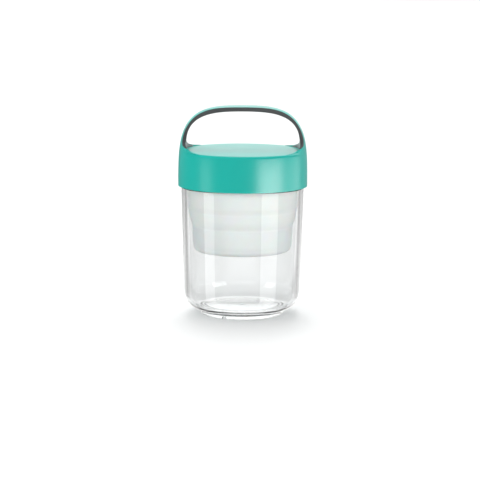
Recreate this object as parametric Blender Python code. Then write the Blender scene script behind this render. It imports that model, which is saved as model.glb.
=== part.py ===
"""A to-go jar: clear jar body, hanging insert cup, seal ring, and a screw lid with a lined strap handle.

Lengths are in metres, +Z is up, the jar stands on z = 0, and the handle's arch runs along X.
"""

import math

import bmesh
import bpy

MM = 0.001

# Fineness of the turned and swept surfaces
TURN_STEPS = 48
FILLET_STEPS = 4
CORNER_STEPS = 6
DOME_STEPS = 16
FLARE_STEPS = 8
RIB_STEPS = 12
MERGE_DISTANCE = 0.001 * MM

# Clearances
SEAT_GAP = 0.3 * MM
CUP_CLEARANCE = 0.35 * MM
SKIRT_CLEARANCE = 0.3 * MM
SKIRT_EDGE_GAP = 0.6 * MM
THREAD_SETBACK = 0.3 * MM
THREAD_CLEARANCE = 0.5 * MM
THREAD_FLANK_GAP = 0.3 * MM
LINING_GAP = 0.3 * MM
CUT_OVERRUN = 4 * MM

# Jar body
BODY_RADIUS = 45.8 * MM
BODY_DRAFT = 2.35 * MM
SHOULDER_HEIGHT = 95.2 * MM
BODY_WALL = 3.05 * MM
CORNER_RADIUS = 14 * MM
INNER_CORNER_RADIUS = 9.7 * MM
FOOT_HEIGHT = 3 * MM
FOOT_WIDTH = 2.4 * MM
FOOT_SETBACK = 12.65 * MM
FOOT_EDGE = 0.5 * MM
RECESS_DEPTH = 2.6 * MM
RECESS_FILLET = 1.2 * MM
FLOOR_THICKNESS = 3.9 * MM
GATE_RADIUS = 2.2 * MM
GATE_DROP = 0.4 * MM
NOTCH_WIDTH = 3 * MM
NOTCH_HEIGHT = 1.6 * MM
NOTCH_TURN = math.radians(-116)
NOTCH_COUNT = 2
NECK_STEP = 1.5 * MM
NECK_WALL = 1.75 * MM
NECK_HEIGHT = 20.7 * MM
NECK_FILLET = 0.8 * MM
SHOULDER_EDGE = 0.5 * MM
RIM_EDGE = 0.4 * MM

# Thread
THREAD_STARTS = 4
THREAD_LEAD = 24 * MM
THREAD_SPAN = math.radians(80)
THREAD_RUNOUT = math.radians(8)
THREAD_ROOT_WIDTH = 2.2 * MM
THREAD_CREST_WIDTH = 1 * MM
THREAD_EMBED = 0.5 * MM
THREAD_BURY = 0.12 * MM
THREAD_MIDDLE_SHARE = 0.52

# Insert cup: shares of its depth and of its taper, from the band's end to the bottom fillet
CUP_DEPTH = 69.2 * MM
CUP_TAPER = 5.4 * MM
CUP_WALL = 1.5 * MM
CUP_BOTTOM_FILLET = 4 * MM
CUP_FLANGE_THICKNESS = 1.5 * MM
CUP_FLANGE_SETBACK = 0.4 * MM
CUP_FLANGE_EDGE = 0.35 * MM
CUP_BAND_SHARE = 0.487
CUP_OUTLINE_SHARES = (
    (0.538, 0.19),
    (0.566, 0.24),
    (0.632, 0.40),
    (0.675, 0.57),
    (0.703, 0.72),
    (0.725, 0.79),
    (0.783, 0.81),
    (0.892, 0.89),
)

# Seal ring
SEAL_THICKNESS = 2 * MM
SEAL_WIDTH = 4 * MM
SEAL_EDGE = 0.5 * MM
SEAL_SIDE_GAP = 0.45 * MM
SEAL_LIP = 0.6 * MM

# Lid
LID_WALL = 1.9 * MM
LID_WALL_DRAFT = 0.2 * MM
LID_LOWER_EDGE = 0.45 * MM
PLATE_THICKNESS = 2 * MM
PLATE_FILLET = 0.8 * MM
PLATE_CROWN = 0.5 * MM
RIM_ROUND = 1.3 * MM
RIM_ROUND_TURN = math.radians(72)
RETAINER_WIDTH = 0.9 * MM
RETAINER_DROP = 1.4 * MM

# Handle: superellipses of revolution, cut to a strap that flares into the rim
HANDLE_RISE = 32.5 * MM
DOME_POWER = 3.6
HANDLE_TOP_THICKNESS = 3.1 * MM
HANDLE_FOOT_THICKNESS = 4.2 * MM
WINDOW_POWER = 3.1
STRAP_HALF_WIDTH = 9.3 * MM
FLARE_WIDTH = 38 * MM
FLARE_RISE = 16 * MM
FLARE_POWER = 3
FLARE_END_SHARE = 0.045
FLARE_TAIL_SHARE = 0.42

# Lining
SKIN_THICKNESS = 1.25 * MM
SKIN_FOOT_THICKNESS = 1.45 * MM
BORDER_WIDTH = 0.8 * MM
BORDER_FOOT_HEIGHT = 2.4 * MM
BORDER_FOOT_ROUND = 2 * MM
LINING_SPREAD = 24 * MM
LINING_KEY_DEPTH = 0.9 * MM

# Radii and heights that follow from the sizes above
BASE_RADIUS = BODY_RADIUS - BODY_DRAFT
FOOT_RADIUS = BASE_RADIUS - FOOT_SETBACK
CORNER_HEIGHT = FOOT_HEIGHT + CORNER_RADIUS
FLOOR_HEIGHT = RECESS_DEPTH + FLOOR_THICKNESS
INNER_CORNER_HEIGHT = FLOOR_HEIGHT + INNER_CORNER_RADIUS
INNER_BASE_RADIUS = BASE_RADIUS - BODY_WALL
NECK_RADIUS = BODY_RADIUS - NECK_STEP
MOUTH_RADIUS = NECK_RADIUS - NECK_WALL
RIM_HEIGHT = SHOULDER_HEIGHT + NECK_HEIGHT
CUP_SEAT_HEIGHT = RIM_HEIGHT + SEAT_GAP
SEAL_HEIGHT = CUP_SEAT_HEIGHT + CUP_FLANGE_THICKNESS + SEAT_GAP
PLATE_HEIGHT = SEAL_HEIGHT + SEAL_THICKNESS + SEAT_GAP
LID_HEIGHT = SHOULDER_HEIGHT + SKIRT_EDGE_GAP
SKIRT_RADIUS = BODY_RADIUS + SKIRT_CLEARANCE
LID_RADIUS = SKIRT_RADIUS + LID_WALL
SKIRT_TOP_RADIUS = SKIRT_RADIUS - LID_WALL_DRAFT
PLATE_BOTTOM = PLATE_HEIGHT - LID_HEIGHT
PLATE_TOP = PLATE_BOTTOM + PLATE_THICKNESS
DOME_TOP = PLATE_TOP + HANDLE_RISE
SEAL_RADIUS = SKIRT_TOP_RADIUS - SEAL_SIDE_GAP
JAR_CREST_RADIUS = BODY_RADIUS - THREAD_SETBACK
LID_CREST_RADIUS = NECK_RADIUS + THREAD_CLEARANCE


def material(name, colour, roughness, transmission=0.0, ior=1.5):
    """A Principled material in linear colour."""
    made = bpy.data.materials.new(name)
    made.use_nodes = True
    made.diffuse_color = colour
    shader = made.node_tree.nodes["Principled BSDF"]
    shader.inputs["Base Color"].default_value = colour
    shader.inputs["Roughness"].default_value = roughness
    shader.inputs["Metallic"].default_value = 0.0
    shader.inputs["Transmission Weight"].default_value = transmission
    shader.inputs["IOR"].default_value = ior
    return made


def new_object(name, mesh, height=0):
    """A mesh object from a bmesh, with its faces turned outward and its origin on the jar's axis."""
    bmesh.ops.remove_doubles(mesh, verts=mesh.verts, dist=MERGE_DISTANCE)
    bmesh.ops.recalc_face_normals(mesh, faces=mesh.faces)
    data = bpy.data.meshes.new(name)
    mesh.to_mesh(data)
    mesh.free()
    made = bpy.data.objects.new(name, data)
    made.location.z = height
    bpy.context.scene.collection.objects.link(made)
    return made


def turned(name, outline, height=0):
    """The solid that a closed outline of (radius, height) points sweeps round Z."""
    mesh = bmesh.new()
    points = [mesh.verts.new((radius, 0, level)) for radius, level in outline]
    for first, second in zip(points, points[1:] + points[:1]):
        if first.co.x > MERGE_DISTANCE or second.co.x > MERGE_DISTANCE:
            mesh.edges.new((first, second))
    bmesh.ops.spin(
        mesh,
        geom=mesh.verts[:] + mesh.edges[:],
        cent=(0, 0, 0),
        axis=(0, 0, 1),
        angle=math.tau,
        steps=TURN_STEPS,
        use_merge=True,
    )
    return new_object(name, mesh, height)


def extruded(name, outline, half_length, height=0):
    """The solid that a closed outline of (y, height) points sweeps along X."""
    mesh = bmesh.new()
    face = mesh.faces.new([mesh.verts.new((-half_length, across, level)) for across, level in outline])
    moved = bmesh.ops.extrude_face_region(mesh, geom=[face])["geom"]
    side = [item for item in moved if isinstance(item, bmesh.types.BMVert)]
    bmesh.ops.translate(mesh, verts=side, vec=(2 * half_length, 0, 0))
    return new_object(name, mesh, height)


def as_helper(helper):
    """Marks an object that only shapes another one."""
    helper.hide_render = True
    helper.display_type = "WIRE"
    return helper


def combine(target, helper, operation):
    """Adds a Boolean of the target and a helper object."""
    modifier = target.modifiers.new(helper.name, "BOOLEAN")
    modifier.operation = operation
    modifier.solver = "EXACT"
    modifier.use_self = True
    modifier.object = as_helper(helper)


def finish(made, finish_material):
    """Gives a piece its material and smooth round faces."""
    made.data.materials.append(finish_material)
    made.data.shade_smooth()
    made.data.set_sharp_from_angle(angle=math.radians(30))
    return made


def arc(centre, radius, start, end, steps=FILLET_STEPS):
    """Points on a circle from one angle in degrees to another, counted from +X toward +Z."""
    points = []
    for step in range(steps + 1):
        angle = math.radians(start + (end - start) * step / steps)
        points.append((centre[0] + radius * math.cos(angle), centre[1] + radius * math.sin(angle)))
    return points


def superellipse(half_width, height, power, steps=DOME_STEPS):
    """A quarter superellipse, from its widest point up to the axis."""
    points = []
    for step in range(steps):
        angle = math.pi / 2 * step / steps
        across = math.cos(angle)
        up = math.sin(angle)
        reach = (across**power + up**power) ** (-1 / power)
        points.append((half_width * reach * across, height * reach * up))
    return points + [(0, height)]


def shifted(line, distance):
    """A line of (radius, height) points moved sideways to its left, its end on the axis kept there."""
    normals = []
    for (r1, z1), (r2, z2) in zip(line, line[1:]):
        length = math.hypot(r2 - r1, z2 - z1)
        normals.append(((z1 - z2) / length, (r2 - r1) / length))
    moved = []
    for index, (radius, level) in enumerate(line):
        before = normals[max(index - 1, 0)]
        after = normals[min(index, len(normals) - 1)]
        reach = distance / (1 + before[0] * after[0] + before[1] * after[1])
        across = reach * (before[0] + after[0])
        up = reach * (before[1] + after[1])
        moved.append((0 if radius == 0 else radius + across, level + up))
    return moved


def inner_wall_radius(level):
    """Radius of the jar's inside at a level between its corner and its shoulder."""
    share = (level - INNER_CORNER_HEIGHT) / (SHOULDER_HEIGHT - INNER_CORNER_HEIGHT)
    return INNER_BASE_RADIUS + (MOUTH_RADIUS - INNER_BASE_RADIUS) * min(share, 1)


def rib_half_width(radius, root, crest):
    """Half the thickness of a thread rib at a radius between its root and its crest."""
    share = (radius - root) / (crest - root)
    return (THREAD_ROOT_WIDTH + (THREAD_CREST_WIDTH - THREAD_ROOT_WIDTH) * share) / 2


def rib_section(mesh, angle, level, root, crest):
    """The four corners of a thread rib at one angle."""
    ends = (
        (root, -THREAD_ROOT_WIDTH / 2),
        (crest, -THREAD_CREST_WIDTH / 2),
        (crest, THREAD_CREST_WIDTH / 2),
        (root, THREAD_ROOT_WIDTH / 2),
    )
    corners = []
    for radius, offset in ends:
        place = (radius * math.cos(angle), radius * math.sin(angle), level + offset)
        corners.append(mesh.verts.new(place))
    return corners


def thread_ribs(name, surface, crest, middle, height=0):
    """One rib for each start of the thread, climbing with the turn and running out at both ends."""
    inward = 1 if crest < surface else -1
    root = surface + inward * THREAD_EMBED
    buried = surface + inward * THREAD_BURY
    mesh = bmesh.new()
    for start in range(THREAD_STARTS):
        previous = None
        for step in range(RIB_STEPS + 1):
            turn = THREAD_SPAN * (step / RIB_STEPS - 1 / 2)
            fade = min((THREAD_SPAN / 2 - abs(turn)) / THREAD_RUNOUT, 1)
            level = middle + THREAD_LEAD * turn / math.tau
            angle = turn + math.tau * start / THREAD_STARTS
            section = rib_section(mesh, angle, level, root, buried + (crest - buried) * fade)
            if previous is None:
                mesh.faces.new(section)
            else:
                for side in range(4):
                    after = (side + 1) % 4
                    mesh.faces.new((previous[side], previous[after], section[after], section[side]))
            previous = section
        mesh.faces.new(previous)
    return new_object(name, mesh, height)


def jar_outline():
    """The jar's section: underside, foot, corner, wall, neck, and back down the inside."""
    foot_inside = FOOT_RADIUS - FOOT_WIDTH
    recess_edge = foot_inside - RECESS_FILLET
    corner = (BASE_RADIUS - CORNER_RADIUS, CORNER_HEIGHT)
    inner_corner = (INNER_BASE_RADIUS - INNER_CORNER_RADIUS, INNER_CORNER_HEIGHT)
    neck_fillet = (NECK_RADIUS + NECK_FILLET, SHOULDER_HEIGHT + NECK_FILLET)
    underside = [
        (0, RECESS_DEPTH - GATE_DROP),
        (GATE_RADIUS, RECESS_DEPTH - GATE_DROP),
        (GATE_RADIUS + GATE_DROP, RECESS_DEPTH),
        *arc((recess_edge, RECESS_DEPTH - RECESS_FILLET), RECESS_FILLET, 90, 0, 3),
        (foot_inside, FOOT_EDGE),
        (foot_inside + FOOT_EDGE, 0),
        (FOOT_RADIUS - FOOT_EDGE, 0),
        (FOOT_RADIUS, FOOT_EDGE),
        (FOOT_RADIUS, FOOT_HEIGHT),
    ]
    outside = [
        *arc(corner, CORNER_RADIUS, -90, 0, CORNER_STEPS),
        (BODY_RADIUS, SHOULDER_HEIGHT - SHOULDER_EDGE),
        (BODY_RADIUS - SHOULDER_EDGE, SHOULDER_HEIGHT),
        *arc(neck_fillet, NECK_FILLET, 270, 180, 3),
        (NECK_RADIUS, RIM_HEIGHT - RIM_EDGE),
        (NECK_RADIUS - RIM_EDGE, RIM_HEIGHT),
    ]
    inside = [
        (MOUTH_RADIUS + RIM_EDGE, RIM_HEIGHT),
        (MOUTH_RADIUS, RIM_HEIGHT - RIM_EDGE),
        (MOUTH_RADIUS, SHOULDER_HEIGHT),
        *arc(inner_corner, INNER_CORNER_RADIUS, 0, -90, CORNER_STEPS),
        (0, FLOOR_HEIGHT),
    ]
    return underside + outside + inside


def foot_notch(index):
    """A drain notch through the foot ring."""
    reach = FOOT_RADIUS - FOOT_WIDTH / 2
    mesh = bmesh.new()
    bmesh.ops.create_cube(mesh, size=1)
    bmesh.ops.scale(mesh, vec=(2 * FOOT_WIDTH, NOTCH_WIDTH, 2 * NOTCH_HEIGHT), verts=mesh.verts)
    notch = new_object(f"notch_cutter_{index + 1}", mesh)
    turn = NOTCH_TURN + math.tau * index / NOTCH_COUNT
    notch.location = (reach * math.cos(turn), reach * math.sin(turn), 0)
    notch.rotation_euler.z = turn
    return notch


def build_jar():
    """The clear jar body with its threaded neck."""
    jar = turned("jar_body", jar_outline())
    middle = SHOULDER_HEIGHT + THREAD_MIDDLE_SHARE * NECK_HEIGHT
    ribs = thread_ribs("neck_rib_blank", NECK_RADIUS, JAR_CREST_RADIUS, middle)
    combine(jar, ribs, "UNION")
    for index in range(NOTCH_COUNT):
        combine(jar, foot_notch(index), "DIFFERENCE")
    return finish(jar, material("clear_copolyester", (0.95, 0.97, 0.97, 1), 0.03, 1.0, 1.54))


def cup_outline():
    """The cup's section, from the flange down its outside and back up its inside, from the flange seat."""
    band_end = -CUP_BAND_SHARE * CUP_DEPTH
    band_top_radius = MOUTH_RADIUS - CUP_CLEARANCE
    band_radius = inner_wall_radius(CUP_SEAT_HEIGHT + band_end) - CUP_CLEARANCE
    bottom_radius = band_radius - CUP_TAPER
    fillet = (bottom_radius - CUP_BOTTOM_FILLET, CUP_BOTTOM_FILLET - CUP_DEPTH)
    outer = [(band_top_radius, 0), (band_radius, band_end)]
    for depth_share, taper_share in CUP_OUTLINE_SHARES:
        outer.append((band_radius - taper_share * CUP_TAPER, -depth_share * CUP_DEPTH))
    outer += arc(fillet, CUP_BOTTOM_FILLET, 0, -90)
    outer.append((0, -CUP_DEPTH))
    inner = shifted(outer, -CUP_WALL)
    flange_radius = NECK_RADIUS - CUP_FLANGE_SETBACK
    mouth = band_top_radius - CUP_WALL
    top = [
        (mouth, CUP_FLANGE_THICKNESS - CUP_FLANGE_EDGE),
        (mouth + CUP_FLANGE_EDGE, CUP_FLANGE_THICKNESS),
        (flange_radius - CUP_FLANGE_EDGE, CUP_FLANGE_THICKNESS),
        (flange_radius, CUP_FLANGE_THICKNESS - CUP_FLANGE_EDGE),
        (flange_radius, CUP_FLANGE_EDGE),
        (flange_radius - CUP_FLANGE_EDGE, 0),
    ]
    return top + outer + inner[:0:-1]


def build_cup():
    """The milky insert cup, which hangs on the jar's rim."""
    cup = turned("insert_cup", cup_outline(), CUP_SEAT_HEIGHT)
    return finish(cup, material("milky_polypropylene", (0.84, 0.87, 0.86, 1), 0.4, 0.35))


def build_seal():
    """The soft ring between the cup's flange and the lid's top plate."""
    inside = SEAL_RADIUS - SEAL_WIDTH
    outline = [
        (inside + SEAL_EDGE, SEAL_THICKNESS),
        (SEAL_RADIUS - SEAL_EDGE, SEAL_THICKNESS),
        (SEAL_RADIUS, SEAL_THICKNESS - SEAL_EDGE),
        (SEAL_RADIUS, SEAL_THICKNESS / 2),
        (SEAL_RADIUS - SEAL_LIP, SEAL_EDGE),
        (SEAL_RADIUS - SEAL_LIP - SEAL_EDGE, 0),
        (inside + SEAL_EDGE, 0),
        (inside, SEAL_EDGE),
        (inside, SEAL_THICKNESS - SEAL_EDGE),
    ]
    seal = turned("lid_seal", outline, SEAL_HEIGHT)
    return finish(seal, material("white_silicone", (0.8, 0.81, 0.8, 1), 0.55))


def dome_line():
    """The outside of skirt and handle, from the lid's lower edge up to the axis."""
    return superellipse(LID_RADIUS, DOME_TOP, DOME_POWER)


def window_line():
    """The inside of the handle's arch, from the top plate up to the axis."""
    share = (1 - (PLATE_TOP / DOME_TOP) ** DOME_POWER) ** (1 / DOME_POWER)
    half_width = LID_RADIUS * share - HANDLE_FOOT_THICKNESS
    line = superellipse(half_width, HANDLE_RISE - HANDLE_TOP_THICKNESS, WINDOW_POWER)
    return [(radius, PLATE_TOP + level) for radius, level in line]


def lid_blank_outline():
    """The lid as one solid dome over its hollow skirt, before the handle is cut free."""
    retainer_outside = SEAL_RADIUS - SEAL_WIDTH - SEAT_GAP
    retainer_inside = retainer_outside - RETAINER_WIDTH
    fillet = (SKIRT_TOP_RADIUS - PLATE_FILLET, PLATE_BOTTOM - PLATE_FILLET)
    edge = [
        (LID_RADIUS, LID_LOWER_EDGE),
        (LID_RADIUS - LID_LOWER_EDGE, 0),
        (SKIRT_RADIUS + LID_LOWER_EDGE, 0),
        (SKIRT_RADIUS, LID_LOWER_EDGE),
    ]
    roof = [
        *arc(fillet, PLATE_FILLET, 0, 90, 3),
        (retainer_outside, PLATE_BOTTOM),
        (retainer_outside, PLATE_BOTTOM - RETAINER_DROP),
        (retainer_inside, PLATE_BOTTOM - RETAINER_DROP),
        (retainer_inside, PLATE_BOTTOM),
        (0, PLATE_BOTTOM),
    ]
    return dome_line()[:0:-1] + edge + roof


def rim_radius():
    """Radius of the lid's outside at the level of its top plate."""
    return LID_RADIUS * (1 - (PLATE_TOP / DOME_TOP) ** DOME_POWER) ** (1 / DOME_POWER)


def plate_line(drop=0):
    """The crowned top of the plate and its rounded rim, from the axis outward past the skirt."""
    centre = (rim_radius() - RIM_ROUND, PLATE_TOP - RIM_ROUND - drop)
    end = 90 - math.degrees(RIM_ROUND_TURN)
    rim = arc(centre, RIM_ROUND, 90, end)
    slope = CUT_OVERRUN / math.tan(RIM_ROUND_TURN)
    last = (rim[-1][0] + slope, rim[-1][1] - CUT_OVERRUN)
    return [(0, PLATE_TOP + PLATE_CROWN - drop)] + rim + [last]


def ring_between(name, inner, outer, height=LID_HEIGHT):
    """The turned solid between two lines that both end on the axis."""
    return turned(name, inner + outer[::-1], height)


def flare_outline(trim, floor):
    """The handle seen from its side: a strap that flares into the rim, from its right foot to its left."""
    right = []
    for step in range(FLARE_STEPS + 1):
        share = 1 - (1 - FLARE_END_SHARE) * step / FLARE_STEPS
        spread = 1 - (1 - (1 - share) ** FLARE_POWER) ** (1 / FLARE_POWER)
        right.append((STRAP_HALF_WIDTH + FLARE_WIDTH * spread - trim, PLATE_TOP + FLARE_RISE * share))
    tail = right[-1]
    slope = (tail[1] - right[-2][1]) / (tail[0] - right[-2][0])
    reach = FLARE_TAIL_SHARE * FLARE_WIDTH
    right.append((tail[0] + reach, tail[1] + slope * reach))
    right.append((tail[0] + reach, floor))
    top = DOME_TOP + CUT_OVERRUN
    right.insert(0, (STRAP_HALF_WIDTH - trim, top))
    return right + [(-across, level) for across, level in reversed(right)]


def strap_band(name, trim, floor):
    """The band along X that the handle fills, narrower at each side by the trim."""
    return extruded(name, flare_outline(trim, floor), LID_RADIUS + CUT_OVERRUN, LID_HEIGHT)


def strap_blank():
    """The whole strap with its feet sunk in the plate, standing proud of the lid's outside."""
    inner = [(window_line()[0][0], PLATE_TOP - 2 * PLATE_THICKNESS)] + window_line()
    outer = shifted(dome_line(), -CUT_OVERRUN)
    strap = ring_between("strap_blank", inner, outer)
    combine(strap, strap_band("strap_band", 0, -CUT_OVERRUN), "INTERSECT")
    return strap


def clearing():
    """The air above the plate and round the strap."""
    top = DOME_TOP + 2 * CUT_OVERRUN
    low = plate_line()
    outline = low + [(low[-1][0] + CUT_OVERRUN, low[-1][1]), (low[-1][0] + CUT_OVERRUN, top), (0, top)]
    air = turned("clearing_cutter", outline, LID_HEIGHT)
    combine(air, strap_blank(), "DIFFERENCE")
    return air


def skin_core(name, gap):
    """The middle of the strap's outer skin, which the lining wraps, grown by a gap."""
    inner = shifted(dome_line(), SKIN_THICKNESS + gap)
    outer = shifted(dome_line(), -CUT_OVERRUN)
    core = ring_between(name, inner, outer)
    band = strap_band(name + "_band", BORDER_WIDTH - gap, -CUT_OVERRUN)
    combine(core, band, "INTERSECT")
    return core


def skin_foot(name, gap):
    """The ring of skin below the lining's edges, whose rounded top ends them, grown by a gap."""
    depth = SKIN_FOOT_THICKNESS + gap
    shoulder = PLATE_TOP + BORDER_FOOT_HEIGHT + gap
    inside = rim_radius() - depth
    centre = (rim_radius(), shoulder)
    low = PLATE_TOP - 2 * PLATE_THICKNESS
    rounded = []
    for step in range(FILLET_STEPS + 1):
        angle = math.pi / 2 * step / FILLET_STEPS
        across = centre[0] - depth * math.cos(angle)
        rounded.append((across, shoulder + BORDER_FOOT_ROUND * math.sin(angle)))
    outside = rim_radius() + CUT_OVERRUN
    outline = [(inside, low)] + rounded + [(outside, rounded[-1][1]), (outside, low)]
    return turned(name, outline, LID_HEIGHT)


def lining_slab(name, gap):
    """The block that bounds the lining's spread and the key that its feet fill in the plate."""
    spread = LINING_SPREAD - gap
    floor = PLATE_TOP - LINING_KEY_DEPTH + gap
    top = DOME_TOP + 3 * CUT_OVERRUN
    outline = [(spread, floor), (spread, top), (-spread, top), (-spread, floor)]
    return extruded(name, outline, LID_RADIUS + 2 * CUT_OVERRUN, LID_HEIGHT)


def lining_pocket():
    """The room that the lining takes in the lid."""
    inner = shifted(window_line(), LINING_GAP)
    inner.insert(0, (inner[0][0], PLATE_TOP - 2 * PLATE_THICKNESS))
    outer = shifted(dome_line(), -CUT_OVERRUN / 2)
    pocket = ring_between("lining_pocket", inner, outer)
    combine(pocket, lining_slab("pocket_slab", 0), "INTERSECT")
    combine(pocket, skin_core("pocket_skin_core", 0), "DIFFERENCE")
    combine(pocket, skin_foot("pocket_skin_foot", 0), "DIFFERENCE")
    return pocket


def build_lid(finish_material):
    """The lid: threaded skirt, crowned plate and the skin of the strap handle."""
    lid = turned("lid_shell", lid_blank_outline(), LID_HEIGHT)
    combine(lid, clearing(), "DIFFERENCE")
    combine(lid, lining_pocket(), "DIFFERENCE")
    touching = (JAR_CREST_RADIUS + LID_CREST_RADIUS) / 2
    jar_half = rib_half_width(touching, NECK_RADIUS, JAR_CREST_RADIUS)
    lid_half = rib_half_width(touching, SKIRT_RADIUS, LID_CREST_RADIUS)
    jar_middle = SHOULDER_HEIGHT + THREAD_MIDDLE_SHARE * NECK_HEIGHT
    middle = jar_middle - jar_half - lid_half - THREAD_FLANK_GAP - LID_HEIGHT
    ribs = thread_ribs("skirt_rib_blank", SKIRT_TOP_RADIUS, LID_CREST_RADIUS, middle, LID_HEIGHT)
    combine(lid, ribs, "UNION")
    return finish(lid, finish_material)


def build_lining(finish_material):
    """The soft lining under the handle, which wraps the strap's edges."""
    inner = [(window_line()[0][0], PLATE_TOP - 2 * PLATE_THICKNESS)] + window_line()
    lining = ring_between("handle_lining", inner, dome_line())
    combine(lining, strap_band("lining_band", 0, -CUT_OVERRUN), "INTERSECT")
    combine(lining, lining_slab("lining_slab", LINING_GAP), "INTERSECT")
    combine(lining, skin_core("lining_skin_core", LINING_GAP), "DIFFERENCE")
    combine(lining, skin_foot("lining_skin_foot", LINING_GAP), "DIFFERENCE")
    return finish(lining, finish_material)


def build():
    """All five pieces, at rest with the lid screwed down."""
    for old in list(bpy.data.objects):
        bpy.data.objects.remove(old)
    build_jar()
    build_cup()
    build_seal()
    lid = build_lid(material("turquoise_polypropylene", (0.0, 0.49, 0.41, 1), 0.35))
    lining = build_lining(material("dark_grey_elastomer", (0.06, 0.065, 0.07, 1), 0.6))
    lining.parent = lid
    lining.location.z = 0


build()
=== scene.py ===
"""The looks of the to-go jar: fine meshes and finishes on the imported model, in a white studio.

Lengths are in metres. The jar stands on z = 0, its axis is Z, and the handle's arch runs along X.
"""

import math

import bmesh
import bpy
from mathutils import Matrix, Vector


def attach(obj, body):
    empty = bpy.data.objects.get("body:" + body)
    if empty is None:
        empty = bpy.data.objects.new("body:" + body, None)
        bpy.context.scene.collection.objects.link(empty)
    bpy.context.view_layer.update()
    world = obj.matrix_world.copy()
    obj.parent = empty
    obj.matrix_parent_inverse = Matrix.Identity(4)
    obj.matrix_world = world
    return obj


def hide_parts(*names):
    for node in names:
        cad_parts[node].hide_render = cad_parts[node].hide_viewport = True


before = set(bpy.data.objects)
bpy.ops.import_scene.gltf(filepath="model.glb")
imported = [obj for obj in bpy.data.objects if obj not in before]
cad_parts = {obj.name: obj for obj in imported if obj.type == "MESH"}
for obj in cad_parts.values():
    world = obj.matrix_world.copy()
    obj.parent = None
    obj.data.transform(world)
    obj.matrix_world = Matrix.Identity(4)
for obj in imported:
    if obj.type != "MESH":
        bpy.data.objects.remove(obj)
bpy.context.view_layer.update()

MM = 0.001

# Fineness
TURN_STEPS = 240
EDGE_STEPS = 4
FILLET_STEPS = 5
LIP_STEPS = 6
ARC_STEPS = 8
SPAN_STEPS = 6
PLATE_STEPS = 12
SKIRT_STEPS = 24
RIB_STEPS = 40
FLARE_STEPS = 44
ARCH_STEPS = 36
ACROSS_STEPS = 20
HALVINGS = 40
FLOOR_STEPS = 96
MERGE_DISTANCE = 0.0005 * MM
SHARP_ANGLE = math.radians(30)
STRAP_SHARP_ANGLE = math.radians(40)
RIB_SHARP_ANGLE = math.radians(60)

# Clearances
SEAT_GAP = 0.3 * MM
CUP_CLEARANCE = 0.35 * MM
SKIRT_CLEARANCE = 0.3 * MM
SKIRT_EDGE_GAP = 0.6 * MM
THREAD_SETBACK = 0.3 * MM
THREAD_CLEARANCE = 0.5 * MM
THREAD_FLANK_GAP = 0.3 * MM

# Jar body
BODY_RADIUS = 45.8 * MM
BODY_DRAFT = 2.35 * MM
SHOULDER_HEIGHT = 95.2 * MM
BODY_WALL = 3.05 * MM
CORNER_RADIUS = 14 * MM
INNER_CORNER_RADIUS = 9.7 * MM
FOOT_HEIGHT = 3 * MM
FOOT_WIDTH = 2.4 * MM
FOOT_SETBACK = 12.65 * MM
FOOT_EDGE = 0.6 * MM
FOOT_FILLET = 0.8 * MM
RECESS_DEPTH = 2.6 * MM
RECESS_FILLET = 1.2 * MM
FLOOR_THICKNESS = 3.9 * MM
GATE_RADIUS = 2.2 * MM
GATE_DROP = 0.4 * MM
GATE_EDGE_DEGREES = -20
NOTCH_WIDTH = 3 * MM
NOTCH_HEIGHT = 1.6 * MM
NOTCH_TURN = math.radians(-116)
NOTCH_COUNT = 2
NECK_STEP = 1.5 * MM
NECK_WALL = 1.75 * MM
NECK_HEIGHT = 20.7 * MM
NECK_FILLET = 0.8 * MM
SHOULDER_EDGE = 0.5 * MM
RIM_EDGE = 0.5 * MM

# Thread
THREAD_STARTS = 4
THREAD_LEAD = 24 * MM
THREAD_SPAN = math.radians(80)
THREAD_RUNOUT = math.radians(8)
THREAD_ROOT_WIDTH = 2.2 * MM
THREAD_CREST_WIDTH = 1 * MM
THREAD_EMBED = 0.5 * MM
THREAD_BURY = 0.12 * MM
THREAD_MIDDLE_SHARE = 0.52
THREAD_SHOULDER_SHARE = 0.25

# Insert cup
CUP_DEPTH = 69.2 * MM
CUP_TAPER = 5.4 * MM
CUP_WALL = 1.5 * MM
CUP_BOTTOM_FILLET = 4 * MM
CUP_FLANGE_THICKNESS = 1.5 * MM
CUP_FLANGE_SETBACK = 0.4 * MM
CUP_FLANGE_EDGE = 0.4 * MM
CUP_BAND_SHARE = 0.487
CUP_STEP_SHARE = 0.725
CUP_OUTLINE_SHARES = (
    (0.538, 0.19),
    (0.566, 0.24),
    (0.632, 0.40),
    (0.675, 0.57),
    (0.703, 0.72),
    (0.725, 0.79),
    (0.783, 0.81),
    (0.892, 0.89),
)

# Seal ring
SEAL_THICKNESS = 2 * MM
SEAL_WIDTH = 4 * MM
SEAL_EDGE = 0.5 * MM
SEAL_SIDE_GAP = 0.45 * MM
SEAL_LIP = 0.6 * MM

# Lid
LID_WALL = 1.9 * MM
LID_WALL_DRAFT = 0.2 * MM
LID_LOWER_EDGE = 0.45 * MM
PLATE_THICKNESS = 2 * MM
PLATE_FILLET = 0.8 * MM
PLATE_CROWN = 0.5 * MM
RIM_ROUND = 1.8 * MM
RETAINER_WIDTH = 0.9 * MM
RETAINER_DROP = 1.4 * MM

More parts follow.
